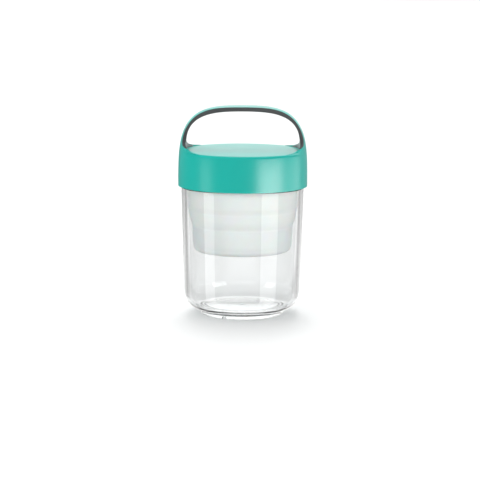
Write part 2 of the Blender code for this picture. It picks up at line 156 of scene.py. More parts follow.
# Handle
HANDLE_RISE = 32.5 * MM
DOME_POWER = 3.6
HANDLE_TOP_THICKNESS = 3.1 * MM
HANDLE_FOOT_THICKNESS = 4.2 * MM
WINDOW_POWER = 3.1
STRAP_HALF_WIDTH = 9.3 * MM
FLARE_WIDTH = 38 * MM
FLARE_RISE = 16 * MM
FLARE_POWER = 3
FLARE_TAIL_RISE = 0.6 * MM
FLARE_TAIL_SPREAD = 8 * MM
FLARE_TAIL_FALL = 0.89 * MM
STRAP_SINK = 3.2 * MM
STRAP_PROUD = 0.02 * MM
STRAP_BURY = 0.25 * MM
STRAP_EDGE = 0.35 * MM
RIM_STATION_SHARES = (0.7, 0.45, 0.25, 0.1)
RIM_DIP = 0.7 * MM
RIM_DIP_START_SHARE = 0.55
RIM_DIP_MIDDLE_SHARE = 0.4

# Lining
SKIN_THICKNESS = 1.25 * MM
BORDER_WIDTH = 0.6 * MM
BORDER_COVER = 0.5 * MM
BORDER_END = 2.5 * MM
BORDER_ROUND = 2.2 * MM
LINING_GAP = 0.06 * MM
LINING_FOOT = 0.06 * MM
LINING_EDGE = 0.45 * MM
LINING_CORNER_SHARE = 0.3
LINING_HALF_WIDTH = 24 * MM
PAD_EDGE_DEPTH = 2.3 * MM
PAD_LOW_RISE = 4 * MM
PAD_HIGH_RISE = 13 * MM
PAD_POWER = 2.4

# Heights and radii that follow from the sizes above
BASE_RADIUS = BODY_RADIUS - BODY_DRAFT
FOOT_RADIUS = BASE_RADIUS - FOOT_SETBACK
CORNER_HEIGHT = FOOT_HEIGHT + CORNER_RADIUS
FLOOR_HEIGHT = RECESS_DEPTH + FLOOR_THICKNESS
INNER_CORNER_HEIGHT = FLOOR_HEIGHT + INNER_CORNER_RADIUS
INNER_BASE_RADIUS = BASE_RADIUS - BODY_WALL
NECK_RADIUS = BODY_RADIUS - NECK_STEP
MOUTH_RADIUS = NECK_RADIUS - NECK_WALL
RIM_HEIGHT = SHOULDER_HEIGHT + NECK_HEIGHT
CUP_SEAT_HEIGHT = RIM_HEIGHT + SEAT_GAP
SEAL_HEIGHT = CUP_SEAT_HEIGHT + CUP_FLANGE_THICKNESS + SEAT_GAP
PLATE_HEIGHT = SEAL_HEIGHT + SEAL_THICKNESS + SEAT_GAP
LID_HEIGHT = SHOULDER_HEIGHT + SKIRT_EDGE_GAP
SKIRT_RADIUS = BODY_RADIUS + SKIRT_CLEARANCE
LID_RADIUS = SKIRT_RADIUS + LID_WALL
SKIRT_TOP_RADIUS = SKIRT_RADIUS - LID_WALL_DRAFT
PLATE_TOP = PLATE_HEIGHT + PLATE_THICKNESS
DOME_HEIGHT = PLATE_TOP + HANDLE_RISE - LID_HEIGHT
SEAL_RADIUS = SKIRT_TOP_RADIUS - SEAL_SIDE_GAP
JAR_CREST_RADIUS = BODY_RADIUS - THREAD_SETBACK
LID_CREST_RADIUS = NECK_RADIUS + THREAD_CLEARANCE

# Finishes: a grain is a noise scale, a bump depth and the lowest and highest roughness,
# and a tint is two colours and a noise scale
CLEAR_COLOUR = (0.985, 0.991, 0.991)
CLEAR_IOR = 1.54
CLEAR_GRAIN = (60, 0.004 * MM, 0.0, 0.012)
GATE_COLOUR = (0.4, 0.55, 0.55)
GATE_REACH = 3.2 * MM
FROST_MARGIN = 0.2 * MM
BASE_FROST = 0.15
POLYPROPYLENE_IOR = 1.49
MILKY_COLOUR = (0.78, 0.77, 0.77)
MILKY_ROUGHNESS = 0.35
MILKY_SCATTER_SHARE = 0.3
MILKY_SCATTER = 3 * MM
MILKY_GRAIN = (900, 0.006 * MM, 0.3, 0.42)
# Painted shade: the cup's first colour darkens it below its step, the second is its colour above
MILKY_TINT_AND_SHADE = ((0.7, 0.705, 0.7), (0.795, 0.785, 0.77), 25)
MILKY_SHADE_FADE = 1 * MM
MILKY_SHADE_SHARE = 0.8
TURQUOISE_COLOUR = (0.0, 0.45, 0.38)
TURQUOISE_ROUGHNESS = 0.3
TURQUOISE_GRAIN = (1400, 0.004 * MM, 0.27, 0.33)
TURQUOISE_TINT = ((0.0, 0.43, 0.365), (0.0, 0.452, 0.384), 30)
ELASTOMER_COLOUR = (0.045, 0.05, 0.052)
ELASTOMER_ROUGHNESS = 0.6
ELASTOMER_IOR = 1.5
ELASTOMER_SHEEN = 1.0
ELASTOMER_SHEEN_ROUGHNESS = 0.35
ELASTOMER_GRAIN = (1800, 0.012 * MM, 0.52, 0.68)
ELASTOMER_TINT = ((0.05, 0.055, 0.058), (0.064, 0.069, 0.072), 60)
SILICONE_COLOUR = (0.8, 0.81, 0.8)
SILICONE_ROUGHNESS = 0.5
SILICONE_SCATTER_SHARE = 0.2
SILICONE_SCATTER = 2 * MM
SILICONE_GRAIN = (1200, 0.006 * MM, 0.45, 0.58)
SILICONE_TINT = ((0.78, 0.79, 0.78), (0.83, 0.84, 0.83), 40)
GRAIN_DETAIL = 3
WEAR_DETAIL = 4
WEAR_RATIO = 20
TINT_DETAIL = 2

# Lamps: name, azimuth and width in degrees, strength
PANEL_DISTANCE = 1400 * MM
PANEL_HEIGHT = 2200 * MM
PANEL_TOP = PANEL_HEIGHT / 2
LID_PANEL_TOP = 20 * MM
WHITE = (1, 1, 1)
KEY_COLOUR = (1, 0.82, 0.84)
KEY_PANEL = ("right_lid_panel", 49.5, 45, 9.5)
LID_PANELS = (
    ("side_lid_panel", 96, 46, 2.6),
    ("left_lid_panel", -68, 22, 2.2),
)
JAR_PANELS = (
    ("right_jar_panel", 52, 34, 2.4),
    ("left_jar_panel", -65, 22, 2.4),
)
JAR_BACK_PANELS = (
    ("back_left_jar_panel", -150, 60, 1.2),
    ("back_right_jar_panel", 150, 60, 1.4),
)

# World: each smooth step is (low, high, bottom, top), over one part of a ray's direction
MIRRORED_RIGHT_STEP = (-0.3, 0.1, 0.0, 0.45)
MIRRORED_BACK_STEP = (-0.3, 0.3, 0.0, 1.0)
HORIZON_START_STEP = (0.0, 0.08, 0.0, 1.5)
HORIZON_END_STEP = (0.08, 0.35, 1.0, 0.25)
HORIZON_BACK_STEP = (0.5, 0.9, 0.0, 1.0)
MIRRORED_AHEAD_STEP = (0.1, 0.7, 0.0, 0.25)
SKY_UP_STEP = (-0.2, 1.0, 0.85, 1.3)
SKY_ALONG_STEP = (-1.0, 1.0, 1.16, 0.76)
BACKLIGHT_STEP = (0.1, 0.3, 0.0, 5.0)
BACKLIGHT_UP_STEP = (0.4, 0.6, 0.0, 1.0)
BACKLIGHT_NARROW_STEP = (0.1, 0.3, 1.0, 0.0)
THROUGH_STEP = (-1.0, 0.1, 1.5, 0.33)
SEEN_STEP = (0.35, 0.55, 1.03, 0.38)
RED_STEP = (0.2, 0.9, 1.0, 0.72)
WHITE_LEVEL = 1.0

# Floor: the same kind of step, over the distance from the jar's axis
FLOOR_RADIUS = 6000 * MM
FLOOR_DROP = 0.05 * MM
FLOOR_COLOUR = (0.6, 0.606, 0.606)
FLOOR_GLOW = 0.2
FLOOR_DIM_GLOW = 0.35
NEAR_FLOOR = 120 * MM
UNDER_JAR_STEP = (30 * MM, 45 * MM, 0.85, 0.0)
BEYOND_JAR_STEP = (100 * MM, 160 * MM, 0.0, 0.06)
DIM_START_STEP = (35 * MM, 45 * MM, 0.0, 0.25)
DIM_END_STEP = (50 * MM, 75 * MM, 1.0, 0.0)
DIM_ASIDE_STEP = (0.45, 0.6, 0.0, 1.0)

# The photograph's view, with the lens and the sensor in millimetres as Blender has them
CAMERA_DISTANCE = 1545 * MM
CAMERA_HEIGHT = 292.5 * MM
CAMERA_SIDE = -1.75 * MM
CAMERA_PITCH = math.radians(81.25)
CAMERA_ROLL = math.radians(0.35)
CAMERA_LENS = 157.0
SENSOR_WIDTH = 36.0


def rounded_power(share, power):
    """The other coordinate of a unit superellipse."""
    return max(1 - abs(share) ** power, 0) ** (1 / power)


def dome_radius(rise):
    """Radius of the lid's outside at a rise above the plate."""
    return LID_RADIUS * rounded_power((PLATE_TOP - LID_HEIGHT + rise) / DOME_HEIGHT, DOME_POWER)


def dome_rise(radius):
    """Rise of the handle's outside above the plate at a radius."""
    return DOME_HEIGHT * rounded_power(radius / LID_RADIUS, DOME_POWER) - (PLATE_TOP - LID_HEIGHT)


WINDOW_RADIUS = dome_radius(0) - HANDLE_FOOT_THICKNESS
WINDOW_RISE = HANDLE_RISE - HANDLE_TOP_THICKNESS


def window_radius(rise):
    """Radius of the handle's inside at a rise above the plate."""
    return WINDOW_RADIUS * rounded_power(max(rise, 0) / WINDOW_RISE, WINDOW_POWER)


def window_rise(radius):
    """Rise of the handle's inside above the plate at a radius."""
    return WINDOW_RISE * rounded_power(radius / WINDOW_RADIUS, WINDOW_POWER)


def mesh_object(name, mesh, sharp=SHARP_ANGLE):
    """A smooth-shaded object from a bmesh."""
    bmesh.ops.remove_doubles(mesh, verts=mesh.verts, dist=MERGE_DISTANCE)
    bmesh.ops.recalc_face_normals(mesh, faces=mesh.faces)
    data = bpy.data.meshes.new(name)
    mesh.to_mesh(data)
    mesh.free()
    data.shade_smooth()
    data.set_sharp_from_angle(angle=sharp)
    made = bpy.data.objects.new(name, data)
    bpy.context.scene.collection.objects.link(made)
    return made


def ring_of(mesh, radius, level):
    """The points of a circle round Z, or one point repeated where it is on the axis."""
    if radius == 0:
        return [mesh.verts.new((0, 0, level))] * TURN_STEPS
    ring = []
    for step in range(TURN_STEPS):
        angle = math.tau * step / TURN_STEPS
        ring.append(mesh.verts.new((radius * math.cos(angle), radius * math.sin(angle), level)))
    return ring


def turned(name, outline):
    """The solid that a closed outline of (radius, height) points sweeps round Z."""
    mesh = bmesh.new()
    rings = [ring_of(mesh, radius, level) for radius, level in outline]
    for lower, upper in zip(rings, rings[1:] + rings[:1]):
        for step in range(TURN_STEPS):
            after = (step + 1) % TURN_STEPS
            corners = [lower[step], lower[after], upper[after], upper[step]]
            corners = list(dict.fromkeys(corners))
            if len(corners) > 2:
                mesh.faces.new(corners)
    return mesh_object(name, mesh)


def arc(centre, radius, start, end, steps=ARC_STEPS):
    """Points on a circle from one angle in degrees to another, counted from +X toward +Z."""
    points = []
    for step in range(steps + 1):
        angle = math.radians(start + (end - start) * step / steps)
        points.append((centre[0] + radius * math.cos(angle), centre[1] + radius * math.sin(angle)))
    return points


def shifted(line, distance):
    """A line of (radius, height) points moved sideways to its left, its end on the axis kept there."""
    normals = []
    for (r1, z1), (r2, z2) in zip(line, line[1:]):
        length = math.hypot(r2 - r1, z2 - z1)
        normals.append(((z1 - z2) / length, (r2 - r1) / length))
    moved = []
    for index, (radius, level) in enumerate(line):
        before = normals[max(index - 1, 0)]
        after = normals[min(index, len(normals) - 1)]
        reach = distance / (1 + before[0] * after[0] + before[1] * after[1])
        across = reach * (before[0] + after[0])
        up = reach * (before[1] + after[1])
        moved.append((0 if radius == 0 else radius + across, level + up))
    return moved


def smooth_line(points, per_span):
    """A Catmull-Rom line through points, with its ends kept."""
    padded = [points[0]] + points + [points[-1]]
    line = []
    for index in range(1, len(padded) - 2):
        p0, p1, p2, p3 = (Vector(point) for point in padded[index - 1:index + 3])
        for step in range(per_span):
            t = step / per_span
            place = (
                2 * p1
                + (p2 - p0) * t
                + (2 * p0 - 5 * p1 + 4 * p2 - p3) * t**2
                + (3 * p1 - p0 - 3 * p2 + p3) * t**3
            ) / 2
            line.append(tuple(place))
    return line + [points[-1]]


def inner_wall_radius(level):
    """Radius of the jar's inside at a level between its corner and its shoulder."""
    share = (level - INNER_CORNER_HEIGHT) / (SHOULDER_HEIGHT - INNER_CORNER_HEIGHT)
    return INNER_BASE_RADIUS + (MOUTH_RADIUS - INNER_BASE_RADIUS) * min(share, 1)


def rib_half_width(radius, root, crest):
    """Half the thickness of a thread rib at a radius between its root and its crest."""
    share = (radius - root) / (crest - root)
    return (THREAD_ROOT_WIDTH + (THREAD_CREST_WIDTH - THREAD_ROOT_WIDTH) * share) / 2


def rib_profile(root, height):
    """A rib's section as (radius, offset) points, from its root to its height."""
    shoulder = height + (root - height) * THREAD_SHOULDER_SHARE
    shoulder_half = rib_half_width(THREAD_SHOULDER_SHARE, 1, 0)
    return (
        (root, -THREAD_ROOT_WIDTH / 2),
        (shoulder, -shoulder_half),
        (height, -THREAD_CREST_WIDTH / 3),
        (height, THREAD_CREST_WIDTH / 3),
        (shoulder, shoulder_half),
        (root, THREAD_ROOT_WIDTH / 2),
    )


def bridge(mesh, first, second):
    """The faces between two closed rings with the same number of points."""
    count = len(first)
    for index in range(count):
        after = (index + 1) % count
        mesh.faces.new((first[index], first[after], second[after], second[index]))


def thread_ribs(name, surface, crest, middle):
    """One rib for each start of the thread, climbing with the turn and running out at both ends."""
    inward = 1 if crest < surface else -1
    root = surface + inward * THREAD_EMBED
    buried = surface + inward * THREAD_BURY
    mesh = bmesh.new()
    for start in range(THREAD_STARTS):
        sections = []
        for step in range(RIB_STEPS + 1):
            turn = THREAD_SPAN * (step / RIB_STEPS - 1 / 2)
            fade = min((THREAD_SPAN / 2 - abs(turn)) / THREAD_RUNOUT, 1)
            height = buried + (crest - buried) * math.sin(fade * math.pi / 2)
            level = middle + THREAD_LEAD * turn / math.tau
            angle = turn + math.tau * start / THREAD_STARTS
            section = []
            for radius, offset in rib_profile(root, height):
                place = (radius * math.cos(angle), radius * math.sin(angle), level + offset)
                section.append(mesh.verts.new(place))
            sections.append(section)
        mesh.faces.new(sections[0])
        for first, second in zip(sections, sections[1:]):
            bridge(mesh, first, second)
        mesh.faces.new(sections[-1])
    return mesh_object(name, mesh, RIB_SHARP_ANGLE)


def boolean(target, helper, operation):
    """Applies a Boolean with a helper, which is then removed."""
    modifier = target.modifiers.new("join", "BOOLEAN")
    modifier.operation = operation
    modifier.solver = "EXACT"
    modifier.object = helper
    bpy.context.view_layer.update()
    graph = bpy.context.evaluated_depsgraph_get()
    result = bpy.data.meshes.new_from_object(target.evaluated_get(graph))
    target.modifiers.clear()
    target.data = result
    bpy.data.objects.remove(helper)
    result.shade_smooth()
    result.set_sharp_from_angle(angle=SHARP_ANGLE)


def underside_outline():
    """The jar's underside: the gate mark, the recess and the foot ring."""
    foot_inside = FOOT_RADIUS - FOOT_WIDTH
    recess = (foot_inside - RECESS_FILLET, RECESS_DEPTH - RECESS_FILLET)
    root = (FOOT_RADIUS + FOOT_FILLET, FOOT_HEIGHT - FOOT_FILLET)
    return [
        (0, RECESS_DEPTH - GATE_DROP),
        *arc((GATE_RADIUS - GATE_DROP, RECESS_DEPTH), GATE_DROP, -90, GATE_EDGE_DEGREES, EDGE_STEPS),
        (GATE_RADIUS + GATE_DROP / 2, RECESS_DEPTH),
        *arc(recess, RECESS_FILLET, 90, 0),
        *arc((foot_inside + FOOT_EDGE, FOOT_EDGE), FOOT_EDGE, 180, 270, FILLET_STEPS),
        *arc((FOOT_RADIUS - FOOT_EDGE, FOOT_EDGE), FOOT_EDGE, 270, 360, FILLET_STEPS),
        *arc(root, FOOT_FILLET, 180, 90, FILLET_STEPS),
    ]


def jar_outline():
    """The jar's section: underside, foot, corner, wall, neck, and back down the inside."""
    corner = (BASE_RADIUS - CORNER_RADIUS, CORNER_HEIGHT)
    inner_corner = (INNER_BASE_RADIUS - INNER_CORNER_RADIUS, INNER_CORNER_HEIGHT)
    shoulder = (BODY_RADIUS - SHOULDER_EDGE, SHOULDER_HEIGHT - SHOULDER_EDGE)
    neck_fillet = (NECK_RADIUS + NECK_FILLET, SHOULDER_HEIGHT + NECK_FILLET)
    rim_level = RIM_HEIGHT - RIM_EDGE
    corner_line = arc(corner, CORNER_RADIUS, -90, 0, 4 * ARC_STEPS)
    return [
        *underside_outline(),
        *[point for point in corner_line if point[0] > FOOT_RADIUS + FOOT_FILLET],
        *arc(shoulder, SHOULDER_EDGE, 0, 90, FILLET_STEPS),
        *arc(neck_fillet, NECK_FILLET, 270, 180, FILLET_STEPS),
        *arc((NECK_RADIUS - RIM_EDGE, rim_level), RIM_EDGE, 0, 90, FILLET_STEPS),
        *arc((MOUTH_RADIUS + RIM_EDGE, rim_level), RIM_EDGE, 90, 180, FILLET_STEPS),
        (MOUTH_RADIUS, SHOULDER_HEIGHT),
        *arc(inner_corner, INNER_CORNER_RADIUS, 0, -90, 3 * ARC_STEPS),
        (0, FLOOR_HEIGHT),
    ]


def foot_notch(index):
    """A rounded drain notch through the foot ring."""
    reach = FOOT_RADIUS - FOOT_WIDTH / 2
    turn = NOTCH_TURN + math.tau * index / NOTCH_COUNT
    half = NOTCH_WIDTH / 2
    rounding = NOTCH_HEIGHT / 2
    outline = [
        (-half, -NOTCH_HEIGHT),
        *arc((-half + rounding, rounding), rounding, 180, 90, FILLET_STEPS),
        *arc((half - rounding, rounding), rounding, 90, 0, FILLET_STEPS),
        (half, -NOTCH_HEIGHT),
    ]
    mesh = bmesh.new()
    along = Vector((math.cos(turn), math.sin(turn), 0))
    across = Vector((-math.sin(turn), math.cos(turn), 0))
    ends = []
    for side in (-1, 1):
        base = along * (reach + side * FOOT_WIDTH)
        ends.append([mesh.verts.new(base + across * a + Vector((0, 0, z))) for a, z in outline])
    bridge(mesh, *ends)
    mesh.faces.new(ends[0])
    mesh.faces.new(ends[1])
    return mesh_object("notch_cutter", mesh)


def jar_thread_middle():
    """Level of the middle of the neck's thread ribs."""
    return SHOULDER_HEIGHT + THREAD_MIDDLE_SHARE * NECK_HEIGHT


def lid_thread_middle():
    """Level of the middle of the lid's thread ribs, just under the neck's."""
    touching = (JAR_CREST_RADIUS + LID_CREST_RADIUS) / 2
    jar_half = rib_half_width(touching, NECK_RADIUS, JAR_CREST_RADIUS)
    lid_half = rib_half_width(touching, SKIRT_RADIUS, LID_CREST_RADIUS)
    return jar_thread_middle() - jar_half - lid_half - THREAD_FLANK_GAP


def make_jar():
    """The clear jar body."""
    jar = turned("clear_jar", jar_outline())
    ribs = thread_ribs("neck_ribs", NECK_RADIUS, JAR_CREST_RADIUS, jar_thread_middle())
    boolean(jar, ribs, "UNION")
    for index in range(NOTCH_COUNT):
        boolean(jar, foot_notch(index), "DIFFERENCE")
    return jar


def cup_outline():
    """The cup's section, from the flange down its outside and back up its inside."""
    band_end = -CUP_BAND_SHARE * CUP_DEPTH
    band_top_radius = MOUTH_RADIUS - CUP_CLEARANCE
    band_radius = inner_wall_radius(CUP_SEAT_HEIGHT + band_end) - CUP_CLEARANCE
    bottom_radius = band_radius - CUP_TAPER
    fillet = (bottom_radius - CUP_BOTTOM_FILLET, CUP_BOTTOM_FILLET - CUP_DEPTH)
    points = [(band_radius, band_end)]
    for depth_share, taper_share in CUP_OUTLINE_SHARES:
        points.append((band_radius - taper_share * CUP_TAPER, -depth_share * CUP_DEPTH))
    points.append((bottom_radius, fillet[1]))
    outer = [(band_top_radius, 0)] + smooth_line(points, SPAN_STEPS)
    outer += arc(fillet, CUP_BOTTOM_FILLET, 0, -90)[1:]
    outer.append((0, -CUP_DEPTH))
    inner = shifted(outer, -CUP_WALL)
    flange_radius = NECK_RADIUS - CUP_FLANGE_SETBACK
    mouth = band_top_radius - CUP_WALL
    edge = CUP_FLANGE_EDGE
    top = [
        *arc((mouth + edge, CUP_FLANGE_THICKNESS - edge), edge, 180, 90, EDGE_STEPS),
        *arc((flange_radius - edge, CUP_FLANGE_THICKNESS - edge), edge, 90, 0, EDGE_STEPS),
        *arc((flange_radius - edge, edge), edge, 0, -90, EDGE_STEPS),
    ]
    return [(radius, level + CUP_SEAT_HEIGHT) for radius, level in top + outer + inner[:0:-1]]


def make_seal():
    """The soft ring between the cup's flange and the lid's top plate."""
    inside = SEAL_RADIUS - SEAL_WIDTH
    edge = SEAL_EDGE
    outline = [
        *arc((inside + edge, SEAL_THICKNESS - edge), edge, 180, 90, EDGE_STEPS),
        *arc((SEAL_RADIUS - edge, SEAL_THICKNESS - edge), edge, 90, 0, EDGE_STEPS),
        (SEAL_RADIUS, SEAL_THICKNESS / 2),
        (SEAL_RADIUS - SEAL_LIP, edge),
        *arc((SEAL_RADIUS - SEAL_LIP - edge, edge), edge, 0, -90, EDGE_STEPS),
        *arc((inside + edge, edge), edge, 270, 180, EDGE_STEPS),
    ]
    return turned("soft_seal", [(radius, level + SEAL_HEIGHT) for radius, level in outline])


def lid_base_outline():
    """The lid without its handle: crowned plate, rounded rim, skirt and the hollow inside."""
    rim = dome_radius(-RIM_ROUND) - RIM_ROUND
    retainer_outside = SEAL_RADIUS - SEAL_WIDTH - SEAT_GAP
    retainer_inside = retainer_outside - RETAINER_WIDTH
    lip = (retainer_inside + RETAINER_WIDTH / 2, PLATE_HEIGHT - RETAINER_DROP + RETAINER_WIDTH / 2)
    fillet = (SKIRT_TOP_RADIUS - PLATE_FILLET, PLATE_HEIGHT - PLATE_FILLET)
    edge = LID_LOWER_EDGE
    plate = []
    for step in range(PLATE_STEPS + 1):
        share = step / PLATE_STEPS
        plate.append((rim * share, PLATE_TOP + PLATE_CROWN * (1 - share**2)))
    skirt = []
    for step in range(1, SKIRT_STEPS + 1):
        level = PLATE_TOP - RIM_ROUND - (PLATE_TOP - RIM_ROUND - LID_HEIGHT - edge) * step / SKIRT_STEPS
        skirt.append((dome_radius(level - PLATE_TOP), level))
    return [
        *plate,
        *arc((rim, PLATE_TOP - RIM_ROUND), RIM_ROUND, 90, 0)[1:],
        *skirt,
        *arc((LID_RADIUS - edge, LID_HEIGHT + edge), edge, 0, -90, EDGE_STEPS),
        *arc((SKIRT_RADIUS + edge, LID_HEIGHT + edge), edge, 270, 180, EDGE_STEPS),
        *arc(fillet, PLATE_FILLET, 0, 90, EDGE_STEPS),
        (retainer_outside, PLATE_HEIGHT),
        *arc(lip, RETAINER_WIDTH / 2, 0, -180, LIP_STEPS),
        (retainer_inside, PLATE_HEIGHT),
        (0, PLATE_HEIGHT),
    ]


def flare_half_width(rise):
    """Half the strap's width at a rise above the plate: even above, flaring into the rim below."""
    if rise >= FLARE_TAIL_RISE:
        share = min(rise / FLARE_RISE, 1)
        return STRAP_HALF_WIDTH + FLARE_WIDTH * (1 - rounded_power(1 - share, FLARE_POWER))
    tail = FLARE_TAIL_SPREAD * (1 - math.exp((rise - FLARE_TAIL_RISE) / FLARE_TAIL_FALL))
    return flare_half_width(FLARE_TAIL_RISE) + tail


def border_width(rise):
    """Width of the strip along the strap's edge that the lining wraps, or that caps it at the foot."""
    return max(BORDER_WIDTH, flare_half_width(rise) - flare_half_width(rise + BORDER_COVER))


def groove_half_width(rise):
    """Half the width of the groove that holds the lining."""
    return min(flare_half_width(rise) - border_width(rise), LINING_HALF_WIDTH)


def turn_shares(top, reach):
    """Shares of an arch's half span, at even turns from the flare's top up to the apex."""
    start = math.atan2(FLARE_RISE, reach)
    shares = []
    for step in range(ARCH_STEPS + 1):
        angle = start + (math.pi / 2 - start) * step / ARCH_STEPS
        low, high = 0, reach
        for _ in range(HALVINGS):
            middle = (low + high) / 2
            if math.atan2(top(middle), middle) > angle:
                low = middle
            else:
                high = middle
        shares.append(low / reach if step else 1)
    shares[-1] = 0
    return shares


def strap_stations():
    """Places along the right half of the strap, from its sunk foot to the apex.

    Each is (rise, None) in the flare, or (None, (outer share, inner share)) in the arch.
    """
    rises = [-STRAP_SINK, -STRAP_SINK + STRAP_BURY, -2 * RIM_ROUND + BORDER_COVER, -RIM_ROUND]
    rises += [-RIM_ROUND * share for share in RIM_STATION_SHARES]
    for step in range(FLARE_STEPS + 1):
        share = step / FLARE_STEPS
        rises.append(LINING_FOOT + (FLARE_RISE - LINING_FOOT) * share**2)
    end = BORDER_END + BORDER_ROUND
    rises += [end, end - LINING_GAP, BORDER_END, BORDER_END - LINING_GAP]
    rises = sorted(rises)
    outer = turn_shares(dome_rise, dome_radius(FLARE_RISE))
    inner = turn_shares(window_rise, window_radius(FLARE_RISE))
    return [(rise, None) for rise in rises] + [(None, pair) for pair in zip(outer[1:], inner[1:])]


def strap_point(station, across, depth, side):
    """The point at a distance across the strap and a depth under its outside."""
    rise, shares = station
    if shares is None:
        outer = Vector((math.sqrt(dome_radius(rise) ** 2 - across**2), across, rise))
        inner = Vector((math.sqrt(window_radius(rise) ** 2 - across**2), across, rise))
    else:
        outer_x = shares[0] * math.sqrt(dome_radius(FLARE_RISE) ** 2 - across**2)
        inner_x = shares[1] * math.sqrt(window_radius(FLARE_RISE) ** 2 - across**2)
        outer = Vector((outer_x, across, dome_rise(math.hypot(outer_x, across))))
        inner = Vector((inner_x, across, window_rise(math.hypot(inner_x, across))))
    inward = inner - outer
    reach = pad_depth(station, across, inward.length) if depth is None else depth
    place = outer + inward.normalized() * reach
    return Vector((place.x * side, place.y, place.z + PLATE_TOP))


def eased(share):
    """A share from 0 to 1 with a gentle start and end."""
    return share * share * (3 - 2 * share)


def pad_depth(station, across, full):
    """Depth of the lining's inner face, which thins toward its edges near the foot like a cushion."""
    rise = station_rise(station)
    low = min(max((PAD_HIGH_RISE - rise) / (PAD_HIGH_RISE - PAD_LOW_RISE), 0), 1)
    edge = full + (min(PAD_EDGE_DEPTH, full) - full) * eased(low)
    share = min(abs(across) / flare_half_width(rise), 1) ** PAD_POWER
    return full + (edge - full) * share


def station_rise(station):
    """The rise that sets the strap's width at a station."""
    return FLARE_RISE if station[0] is None else station[0]


def across_steps(low, high):
    """Even places from low to high, both included."""
    return [low + (high - low) * step / ACROSS_STEPS for step in range(ACROSS_STEPS + 1)]


def border_depth(rise, full):
    """Depth at which the turquoise strip on the strap's edge gives way to the lining."""
    top = BORDER_END + BORDER_ROUND
    if rise >= top:
        return 0
    if rise <= BORDER_END:
        return full
    share = (top - rise) / BORDER_ROUND
    return full * (1 - math.sqrt(1 - share**2))


def skin_depth(rise, across, half):
    """Depth of the skin's outside, which dips under the rounded rim toward the ends of the flare."""
    if rise <= -STRAP_SINK:
        return STRAP_BURY
    if rise >= RIM_ROUND / 4:
        return 0
    near = max(1 - abs(rise + RIM_ROUND * RIM_DIP_MIDDLE_SHARE) / RIM_ROUND, 0)
    share = max(abs(across) / half - RIM_DIP_START_SHARE, 0) / (1 - RIM_DIP_START_SHARE)
    return RIM_DIP * near * eased(share) - STRAP_PROUD


def skin_section(station):
    """The turquoise skin's section as (across, depth) points, right half first."""
    rise = station_rise(station)
    half = flare_half_width(rise)
    inner_edge = groove_half_width(rise) - LINING_GAP / 2
    full = PAD_EDGE_DEPTH if rise > -RIM_ROUND / 2 else SKIN_THICKNESS
    reach = border_depth(rise, full) - LINING_GAP / 2
    proud = skin_depth(rise, half, half)
    edge = min(STRAP_EDGE, SKIN_THICKNESS / 3)
    outer_edge = half if reach > 0 else inner_edge
    under = max(reach, edge) if reach > 0 else 2 * edge
    side = outer_edge - edge
    right = [
        (side, proud),
        (outer_edge, proud + edge),
        (outer_edge, under),
        (inner_edge, under),
        (inner_edge, SKIN_THICKNESS),
    ]
    bottom = [(place, SKIN_THICKNESS) for place in across_steps(inner_edge, -inner_edge)[1:-1]]
    left = [(-place, depth) for place, depth in reversed(right)]
    top = [(place, skin_depth(rise, place, half)) for place in across_steps(-side, side)[1:-1]]
    return right + bottom + left + top


def lining_section(station):
    """The lining's section as (across, depth) points: a shallow channel round the skin."""
    rise = station_rise(station)
    half = flare_half_width(rise)
    groove = groove_half_width(rise) + LINING_GAP / 2
    under = SKIN_THICKNESS + LINING_GAP
    reach = border_depth(rise, PAD_EDGE_DEPTH) + LINING_GAP / 2
    edge = LINING_EDGE
    if rise <= BORDER_END:
        half = groove - LINING_GAP
        right = [(half - LINING_GAP, under)] * 4 + [(half, under + edge)]
    else:
        start = min(reach, PAD_EDGE_DEPTH - 2 * edge)
        if rise >= BORDER_END + BORDER_ROUND:
            start = 0
        right = [
            (groove, under),
            (groove, start + edge / 3),
            (groove + edge / 3, start),
            (half - edge / 3, start),
            (half, start + edge / 3),
        ]
    inside = [(place, None) for place in across_steps(half - edge, edge - half)]
    left = [(-place, depth) for place, depth in reversed(right)]
    top = [(place, under) for place in across_steps(-groove, groove)[1:-1]]
    return right, inside, left, top


def lining_points(station, side):
    """The lining's section in space, with its inner corners rounded."""
    right, inside, left, top = lining_section(station)
    half = right[-1][0]
    full = (strap_point(station, half, None, side) - strap_point(station, half, 0, side)).length
    full = max(full, right[-1][1] + LINING_EDGE)
    rounding = LINING_EDGE * LINING_CORNER_SHARE
    corner = [(half, full - LINING_EDGE), (half - rounding, full - rounding)]
    left_corner = [(-place, depth) for place, depth in reversed(corner)]
    flat = right + corner + inside + left_corner + left + top
    return [strap_point(station, place, depth, side) for place, depth in flat]


def skin_points(station, side):
    """The skin's section in space."""
    return [strap_point(station, place, depth, side) for place, depth in skin_section(station)]


def swept(name, points_of, stations):
    """The solid that a strap's section sweeps from its left foot to its right foot."""
    mesh = bmesh.new()
    sections = [points_of(station, -1) for station in stations]
    sections += [points_of(station, 1) for station in reversed(stations[:-1])]
    rings = [[mesh.verts.new(place) for place in section] for section in sections]
    for first, second in zip(rings, rings[1:]):
        bridge(mesh, first, second)
    mesh.faces.new(rings[0])
    mesh.faces.new(rings[-1])
    return mesh_object(name, mesh, STRAP_SHARP_ANGLE)


def joined(name, pieces):
    """One object from several."""
    with bpy.context.temp_override(active_object=pieces[0], selected_editable_objects=pieces):
        bpy.ops.object.join()
    pieces[0].name = name
    return pieces[0]


def make_lid():
    """The turquoise moulding: skirt, plate, thread ribs and the skin of the strap."""
    base = turned("lid_base", lid_base_outline())
    ribs = thread_ribs("skirt_ribs", SKIRT_TOP_RADIUS, LID_CREST_RADIUS, lid_thread_middle())
    boolean(base, ribs, "UNION")
    skin = swept("strap_skin", skin_points, strap_stations())
    return joined("turquoise_lid", [base, skin])


